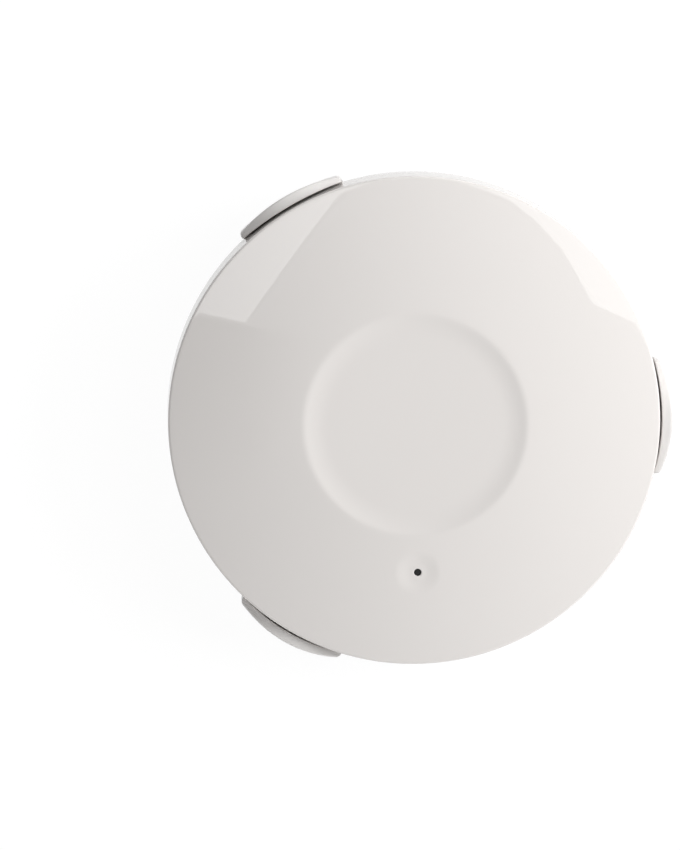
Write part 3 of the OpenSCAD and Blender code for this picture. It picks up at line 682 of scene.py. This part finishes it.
def dome(r):
    """Height of the ball that the dome is cut from: apex - (R - sqrt(R^2 - r^2))."""
    return APEX_Z - DOME_R + np.sqrt(DOME_R ** 2 - r ** 2)


DISH_Z = float(dome(DISH_R)) - DISH_DEPTH
LIGHT_FLOOR = float(dome(LIGHT_REACH)) - RECESS_DEPTH


def dished(r):
    """The lower of two surfaces with a soft crest between them: the dish, level in its middle and then
    curving up with the square of the radius, and the dome. -k log(e^(-a/k) + e^(-b/k)) is that
    minimum, where k is the crest's softness."""
    bowl = DISH_Z + DISH_CURVE * np.clip(r - DISH_FLAT, 0, None) ** 2
    return -CREST * np.logaddexp(-bowl / CREST, -dome(r) / CREST)


def cover_top(x, y):
    """The dished dome with the light's recess pressed into it by a soft step round the pinhole."""
    out = np.hypot(x - LIGHT_X, y - LIGHT_Y)
    return dished(np.hypot(x, y)) - RECESS_DEPTH * (1 - soft_step(out, RECESS_FLAT, RECESS_R))


print("apex", round(APEX_Z, 3), "dish", round(DISH_Z, 3), "recess", round(LIGHT_FLOOR, 3))

# %% [markdown]
# The rows are now put together: pinhole, top, rim, wall, lower edge, inner wall and inner roof. The
# top's rows crowd towards the pinhole, where the form is finest. The screw posts and the light's
# sleeve under the roof are turned tubes in the same piece.

# %% Rows of the cover
COLUMNS, TOP_ROWS, CROWDING, ROOF_ROWS, RIM_ROWS, LIP_ROWS = 288, 190, 1.6, 36, 12, 6
turn = np.linspace(0, 2 * np.pi, COLUMNS, endpoint=False)[None, :]


def drifting_rows(share, inner_r, outer_r):
    """Circles from the pinhole to the rim: the radius grows with the share while the centre drifts in
    step from the pinhole to the axis, so that no two circles cross."""
    r = inner_r + (outer_r - inner_r) * share[:, None]
    away = 1 - share[:, None]
    return LIGHT_X * away + r * np.cos(turn), LIGHT_Y * away + r * np.sin(turn)


def pinhole_rows(radii, drops):
    """Rows round the pinhole, each dropped below the recess by its own amount."""
    x = LIGHT_X + radii[:, None] * np.cos(turn)
    y = LIGHT_Y + radii[:, None] * np.sin(turn)
    return np.stack([x, y, cover_top(x, y) - drops[:, None]], -1)


ROUND, TAPER, LIP, EDGE_EASE, WALL_STEP = 0.5, 0.15, 0.14, 0.22, 0.8
INNER_R, ROOF_R = COVER_R - WALL_T, 38.0
round_r = COVER_R - TAPER - ROUND
join_r = round_r / (1 - ROUND / DOME_R)
lean = math.asin(join_r / DOME_R)
round_z = float(dome(join_r)) - ROUND * math.cos(lean)
x, y = drifting_rows(np.linspace(0, 1, TOP_ROWS) ** CROWDING, HOLE_R + LIP, join_r)
top_rows = np.stack([x, y, cover_top(x, y)], -1)
bend = np.linspace(lean, np.pi / 2, RIM_ROWS)[1:]
rim = np.stack([round_r + ROUND * np.sin(bend), round_z + ROUND * np.cos(bend)], -1)
wall = [rim[-1], (COVER_R, WALL_Z), (INNER_R, WALL_Z), (INNER_R, float(dished(ROOF_R)) - COVER_T)]
wall = stepped(eased(wall, EDGE_EASE), WALL_STEP)[1:]
x, y = drifting_rows(np.linspace(1, 0, ROOF_ROWS), HOLE_R, INNER_R)
roof_rows = np.stack([x, y, dished(np.hypot(x, y)) - COVER_T], -1)[1:]
mouth = np.linspace(0, np.pi / 2, LIP_ROWS)[:-1]
lip_rows = pinhole_rows(HOLE_R + LIP * (1 - np.cos(mouth)), LIP * (1 - np.sin(mouth)))
side_rows = [turned(line, COLUMNS) for line in (rim, wall)]
rows = np.concatenate([lip_rows, top_rows, *side_rows, roof_rows])
print("cover has", len(rows), "rows of", COLUMNS, "points")

# %% The cover
SCREW_REACH, POST_R, POST_HOLE, POST_Z, POST_SINK = 32.7, 2.7, 1.25, 9.9, 1.0
SLEEVE_R, SLEEVE_HOLE, SLEEVE_Z, SLEEVE_SINK = 2.4, 1.25, 14.1, 0.7
TUBE_EASE, TUBE_COLUMNS = 0.12, 48
screw_ways = np.radians([60, 180, 300])
screw_spots = [(SCREW_REACH * math.cos(way), SCREW_REACH * math.sin(way)) for way in screw_ways]


def tube(outer, inner, bottom, top, x, y):
    """An upright tube round the given axis, as (points, faces)."""
    corners = [(outer, bottom), (outer, top), (inner, top), (inner, bottom)]
    return turned_solid(corners, TUBE_EASE, TUBE_COLUMNS, x, y, loop=True)


post_top = float(dome(SCREW_REACH)) - POST_SINK
cover_parts = [(rows, ring_faces(len(rows), COLUMNS, loop=True))]
cover_parts += [tube(POST_R, POST_HOLE, POST_Z, post_top, x, y) for x, y in screw_spots]
cover_parts.append(tube(SLEEVE_R, SLEEVE_HOLE, SLEEVE_Z, LIGHT_FLOOR - SLEEVE_SINK, LIGHT_X, LIGHT_Y))
make_piece("glossy_cover", stack_grids(cover_parts), "housing", "cover_white", "top_cover")

# %% [markdown]
# The base is a shallow bowl with three feet. The bowl is turned, and straight tools then cut the door's
# opening, its sliding bed, the slots for its hooks, the screw wells and the button's hole. Each cutter
# is a closed solid, and Blender's boolean takes it away. A foot isn't turned round the puck's axis: its
# front bows more than the rim does. So a foot is a stack of slices across its width, each a soft
# cornered outline of pad, outer wall and ear.

# %% Sizes of the base
SEAL_GAP, EAR_DROP, BOWL_INSET = 0.6, 1.4, 0.3
PLATE_Z, PLATE_TOP, PAD_Z = 2.4, 5.0, 1.0
EDGE_Z, FOOT_TOP = WALL_Z - SEAL_GAP, RIM_Z - EAR_DROP
BOWL = EDGE_Z - PLATE_Z
BOWL_X = COVER_R - BOWL_INSET - BOWL
low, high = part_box("battery_door")
DOOR_L, DOOR_W, DOOR_CORNER = high.x / MM, -low.y / MM, 4.0
OPEN_L, OPEN_W = DOOR_L - 3.6, DOOR_W - 2.0
BUTTON_Y = COVER_R - 11
print("bowl", round(BOWL, 3), "door", round(DOOR_L, 3), round(DOOR_W, 3))
print("opening", round(OPEN_L, 3), round(OPEN_W, 3), "button at", round(BUTTON_Y, 3))

# %% A foot
FOOT_HALF, FOOT_ROUND, FOOT_OUT, BOW_R = 9.3, 0.5, 2.1, 24
EAR_GAP, EAR_ROUND, EAR_SINK, EAR_SINK_AT = 0.3, 0.3, 2.0, 8.2
WAIST_IN, WAIST_FLARE, SOLE_R, PAD_IN, PAD_BACK_Z, DOOR_ROOM = 1, 9.6, 37.0, 29.8, 3.0, 0.5
WAIST_Z, ROOT_Z, HEART_Z = EDGE_Z - 1.2, EDGE_Z - 0.3, EDGE_Z - 0.6
FLAT_SLICES, ROUND_SLICES, CLOSING = 24, 6, [0.6, 0.25, 0.0]
CORNER_REACH = [0.3, 1.8, 2.6, 0.55, 0.2, 0.02, 0.3]


def foot(way):
    """One foot as (points, faces). Across its width y the bowed front is x = c + sqrt(b^2 - y^2), the
    ear's back follows the cover as x = sqrt(e^2 - y^2), and the top sinks with y^2. Towards the ends
    the slices shrink by d = q(1 - cos t) while y gains q sin t, which rounds the edges; the last ones
    close on a point."""
    t = np.linspace(0, np.pi / 2, ROUND_SLICES + 1)[1:]
    q, flat = FOOT_ROUND, FOOT_HALF - FOOT_ROUND
    y = [np.linspace(0, flat, FLAT_SLICES), flat + q * np.sin(t), [FOOT_HALF] * len(CLOSING)]
    d = [np.zeros(FLAT_SLICES), q * (1 - np.cos(t)), [q] * len(CLOSING)]
    scale = [np.ones(FLAT_SLICES + ROUND_SLICES), CLOSING]
    y, d, scale = (np.concatenate(v) for v in (y, d, scale))
    y, d, scale = (np.append(sign * v[:0:-1], v) for sign, v in ((-1, y), (1, d), (1, scale)))
    front = COVER_R + FOOT_OUT - BOW_R + np.sqrt(BOW_R ** 2 - y ** 2)
    back = np.sqrt((COVER_R + EAR_GAP) ** 2 - y ** 2) + EAR_ROUND * d
    crown = FOOT_TOP - EAR_SINK * (y / EAR_SINK_AT) ** 2 - d
    waist = front - WAIST_IN + (y / WAIST_FLARE) ** 2 - d
    pad_in = max(PAD_IN, DOOR_L + DOOR_ROOM) + d
    sole = np.sqrt(SOLE_R ** 2 - y ** 2) - d
    level = 0 * y
    outline = [(pad_in, PAD_Z + d), (sole, PAD_Z + d), (waist, WAIST_Z + level), (front - d, crown),
               (back, crown), (back, ROOT_Z + level), (pad_in, PAD_BACK_Z + level)]
    corners = np.stack([np.stack(corner, -1) for corner in outline], 1)
    slices = eased(corners, np.array(CORNER_REACH)[:, None], closed=True)
    centre = np.stack([0.5 * (back + waist), HEART_Z + level], -1)[:, None, :]
    slices = centre + (slices - centre) * scale[:, None, None]
    x, z, y = slices[..., 0], slices[..., 1], y[:, None] + 0 * slices[..., 0]
    cos, sin = math.cos(way), math.sin(way)
    return np.stack([x * cos - y * sin, x * sin + y * cos, z], -1), ring_faces(*x.shape)


print("the shape of a foot is ready")

# %% Cutters
LEAST_CUT = 0.001


def block(x0, x1, y0, y1, z0, z1, cut=0.0):
    """An upright block as (points, faces); its corners in plan are cut off by the given length."""
    c = max(cut, LEAST_CUT)
    plan = np.array([(x0 + c, y0), (x1 - c, y0), (x1, y0 + c), (x1, y1 - c),
                     (x1 - c, y1), (x0 + c, y1), (x0, y1 - c), (x0, y0 + c)])
    middle = np.full((8, 2), plan.mean(0))
    levels = ((middle, z0), (plan, z0), (plan, z1), (middle, z1))
    return np.stack([np.column_stack([p, np.full(8, z)]) for p, z in levels]), ring_faces(4, 8)


def carve(piece, *cutters):
    """Takes the cutters away from a piece: each is a list of (points, faces) that don't overlap."""
    tools = [make_solid("cutter", *stack_grids(parts)) for parts in cutters]
    for tool in tools:
        cut = piece.modifiers.new("cut", "BOOLEAN")
        cut.operation, cut.solver, cut.object = "DIFFERENCE", "EXACT", tool
    ready = piece.evaluated_get(bpy.context.evaluated_depsgraph_get())
    shape = bpy.data.meshes.new_from_object(ready)
    piece.modifiers.clear()
    piece.data = shape
    for tool in tools:
        bpy.data.objects.remove(tool)
    return piece


print("cutting tools are ready")

# %% The bowl
BOWL_ROWS, BOWL_COLUMNS, TURN_SHARP, ONE_RUN = 29, 288, 0.02, 9
TONGUE_OUT, TONGUE_IN, TONGUE_H, TONGUE_FOOT_Z, TONGUE_EASE = 37.7, 36.4, 2.4, 7.82, 0.1
DOOR_GAP, DOOR_RUN = 0.1, 5.3
HOOK_REACH, HOOK_STARTS, HOOK_SLOT = 1.6, (3.25, 13.25), (2.7, 7.3)
arc = np.linspace(-np.pi / 2, 0, BOWL_ROWS)[1:]
outer = np.stack([BOWL_X + BOWL * np.cos(arc), EDGE_Z + BOWL * np.sin(arc)], -1)
inner = eased([outer[-1], (TONGUE_OUT, EDGE_Z), (TONGUE_OUT, EDGE_Z + TONGUE_H),
               (TONGUE_IN, EDGE_Z + TONGUE_H), (TONGUE_IN, TONGUE_FOOT_Z),
               (BOWL_X + 0.7, PLATE_TOP), (0, PLATE_TOP)], TONGUE_EASE)
plate = [(0, PLATE_Z), (BOWL_X - 1.5, PLATE_Z), (BOWL_X, PLATE_Z)]
line = np.concatenate([plate, outer, inner[1:]])
base = make_solid("footed_base", turned(line, BOWL_COLUMNS), ring_faces(len(line), BOWL_COLUMNS))
screw_well = [(0, 0), (2.5, 0), (2.5, 6), (1.35, 6), (1.35, 12), (0, 12)]
button_well = [(0, 0), (1.73, 0), (1.73, 8), (0, 8)]
wells = [turned_solid(profile, TURN_SHARP, 48, x, y, ONE_RUN) for profile, (x, y) in
         [(screw_well, spot) for spot in screw_spots] + [(button_well, (0.0, BUTTON_Y))]]
bed = [block(-DOOR_L - DOOR_GAP, DOOR_L + DOOR_GAP, -DOOR_W - DOOR_GAP, DOOR_W + DOOR_RUN,
             1.2, 3.8, DOOR_CORNER)]
opening = [block(-OPEN_L, OPEN_L, -OPEN_W, OPEN_W, 1.4, 7)]
slot_l = OPEN_L + HOOK_REACH
slots = [block(-slot_l, slot_l, *(start - OPEN_W + end for end in HOOK_SLOT), 1.5, 6.5)
         for start in HOOK_STARTS]
carve(base, wells, bed, opening, slots)
print("bowl has", len(base.data.polygons), "faces")

# %% The base
BASE_SHARP, EVEN_WEIGHT = math.radians(35), 90
screw_post = [(3.2, 4.6), (3.2, 9.8), (1.35, 9.8), (1.35, 6), (2.5, 6), (2.5, 4.6)]
posts = [turned_solid(screw_post, 0.1, 48, x, y, loop=True) for x, y in screw_spots]
feet = [foot(way) for way in np.radians([0, 120, 240])]
extra = make_solid("base_extras", *stack_grids(posts + feet))
work = bmesh.new()
work.from_mesh(base.data)
work.from_mesh(extra.data)
work.to_mesh(base.data)
work.free()
bpy.data.objects.remove(extra)
smooth(base.data)
base.data.set_sharp_from_angle(angle=BASE_SHARP)
even = base.modifiers.new("even_shading", "WEIGHTED_NORMAL")
even.keep_sharp, even.weight = True, EVEN_WEIGHT
stand_in(base, "housing", "base_white", "base_housing")

# %% [markdown]
# The door and the screws keep their construction meshes, as they are plain and small. A copy's
# triangles are loose: they are merged first, flat neighbours are joined into one face, and then a
# bevel of a tenth of a millimetre rounds every sharp edge.

# %% The door and the screws
COPY_MERGE, FLAT_ANGLE, EDGE_ANGLE = 1e-6, math.radians(0.6), math.radians(32)


def softened_copy(name, node, body, slot, width, segments):
    """A merged copy of a construction node, with flat triangles joined and its edges bevelled."""
    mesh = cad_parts[node].data.copy()
    mesh.name = name
    work = bmesh.new()
    work.from_mesh(mesh)
    bmesh.ops.remove_doubles(work, verts=work.verts, dist=COPY_MERGE)
    bmesh.ops.dissolve_limit(work, angle_limit=FLAT_ANGLE, verts=work.verts, edges=work.edges)
    work.to_mesh(mesh)
    work.free()
    smooth(mesh)
    mesh.set_sharp_from_angle(angle=EDGE_ANGLE)
    piece = new_object(name, mesh)
    bevel = piece.modifiers.new("soft_edges", "BEVEL")
    bevel.width, bevel.segments, bevel.limit_method = width * MM, segments, "ANGLE"
    bevel.angle_limit, bevel.harden_normals = EDGE_ANGLE, True
    return stand_in(piece, body, slot, node)


softened_copy("sliding_door", "battery_door", "door", "base_white", 0.12, 3)
softened_copy("base_screws", "housing_screws", "housing", "plated_steel", 0.08, 2)

# %% [markdown]
# The studs, the button, the seal and the light rod are turned pieces. A stud's flat end has a broad
# chamfer and the rings of the lathe: the mesh carries the distance from the stud's axis, counted in
# turns of the tool, for its finish to read, and the finish paints the shade of the lathe's grooves as
# darker rings. The button's face is dished for a pen tip, and the rod's tip is rounded.

# %% Studs
STUD_REACH, STUD_EASE, STUD_COLUMNS, RING_PITCH = 33.4, 0.2, 72, 0.48 * MM
stud = [(0, 0), (1.7, 0), (2.8, 0.42), (2.8, 1.0), (1.25, 1.0), (1.25, 13.8), (0, 13.8)]
for name, degrees in (("east", 0), ("northwest", 120), ("southwest", 240)):
    way = math.radians(degrees)
    x, y = STUD_REACH * math.cos(way), STUD_REACH * math.sin(way)
    grid = turned_solid(stud, STUD_EASE, STUD_COLUMNS, x, y)
    piece = make_piece("stud_" + name, grid, "housing", "stainless", "probe_" + name)
    spots = np.empty(3 * len(piece.data.vertices))
    piece.data.vertices.foreach_get("co", spots)
    reach = np.hypot(spots[0::3] - x * MM, spots[1::3] - y * MM)
    # The phase places the rings of painted groove shade on the stud's face.
    turning = piece.data.attributes.new("turning", "FLOAT", "POINT")
    turning.data.foreach_set("value", 2 * np.pi * reach / RING_PITCH)

# %% Button, seal and light rod
press = [(0, 2.75), (0.9, 2.68), (1.65, 2.6), (1.65, 5.05), (2.35, 5.05), (2.35, 5.9), (0, 5.9)]
grid = turned_solid(press, 0.22, 64, 0.0, BUTTON_Y)
make_piece("pen_button", grid, "button", "button_grey", "pairing_button")
SEAL_IN, SEAL_OUT = 37.8, 39.3
band = [(SEAL_IN, EDGE_Z), (SEAL_OUT, EDGE_Z), (SEAL_OUT, WALL_Z), (SEAL_IN, WALL_Z)]
grid = turned_solid(band, 0.2, 240, loop=True)
make_piece("edge_seal", grid, "housing", "black_rubber", "housing_seal")
ROD_R, ROD_TIP_R, ROD_Z, ROD_STEP = 1.2, 0.55, 13.3, 0.3
shoulder, tip_edge, tip = (LIGHT_FLOOR - drop for drop in (1.05, 0.23, 0.2))
rod = [(0, ROD_Z), (ROD_R, ROD_Z), (ROD_R, shoulder), (ROD_TIP_R, shoulder), (ROD_TIP_R, tip_edge),
       (0, tip)]
grid = turned_solid(rod, TUBE_EASE, TUBE_COLUMNS, LIGHT_X, LIGHT_Y, ROD_STEP)
make_piece("light_rod", grid, "housing", "clear_rod", "light_pipe")

# %% [markdown]
# What is left is inside the housing and keeps its construction mesh. Each node gets its finish by
# name; the record lists the finishes as slots, and this table says which node takes which.

# %% Finishes of the inner pieces
worn_by = {
    "black_rubber": ["door_seal", "probe_seal_east", "probe_seal_northwest", "probe_seal_southwest"],
    "plated_steel": ["probe_nuts", "tray_screws"],
    "board_green": ["circuit_board"],
    "board_blue": ["radio_board"],
    "shield_metal": ["radio_shield"],
    "chip_black": ["control_chip", "switch_body"],
    "can_metal": ["supply_capacitor"],
    "led_clear": ["status_led"],
    "plunger_white": ["switch_plunger"],
    "tray_grey": ["battery_tray"],
    "cell_sleeve": ["battery_a", "battery_b"],
    "nickel": ["positive_contact", "negative_contact", "negative_spring", "bridge_contact",
               "bridge_spring"],
}
for slot, nodes in worn_by.items():
    for node in nodes:
        dress(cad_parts[node], slot)
print("dressed", sum(map(len, worn_by.values())), "inner nodes")
